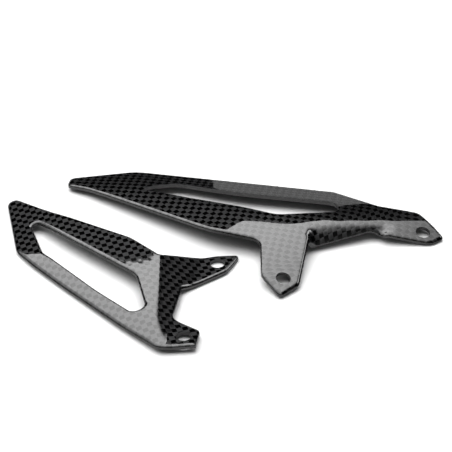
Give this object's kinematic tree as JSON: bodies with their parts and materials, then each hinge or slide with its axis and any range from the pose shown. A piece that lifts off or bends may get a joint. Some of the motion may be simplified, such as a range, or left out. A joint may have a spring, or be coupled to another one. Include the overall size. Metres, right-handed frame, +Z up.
{
  "type": "heel guard set",
  "caption": "Pair of bent, slotted carbon fibre plates that screw beside a motorcycle footrest to keep the rider's heel off the moving parts.",
  "frame": {"origin": "middle of the set's bounding box in plan, on the level surface that both plates rest on", "axes": "+Z up, square to the surface the plates lie on, outer faces up; +X from the plates' narrow tails towards their screw ears; +Y away from the near ear tips, across both plates"},
  "size_m": [0.1638, 0.1112, 0.0082],
  "materials": {
    "clear_coat": "clear high-gloss lacquer",
    "carbon_weave": "plain-weave carbon fibre cloth in glossy clear resin",
    "carbon_core": "carbon fibre cloth in resin, satin where cut",
    "carbon_back": "plain-weave carbon fibre cloth in resin, satin"
  },
  "bodies": {
    "root": {"large_clear_coat": "clear_coat", "large_face_ply": "carbon_weave", "large_upper_core_ply": "carbon_core", "large_lower_core_ply": "carbon_core", "large_back_ply": "carbon_back", "small_clear_coat": "clear_coat", "small_face_ply": "carbon_weave", "small_upper_core_ply": "carbon_core", "small_lower_core_ply": "carbon_core", "small_back_ply": "carbon_back"}
  },
  "joints": []
}
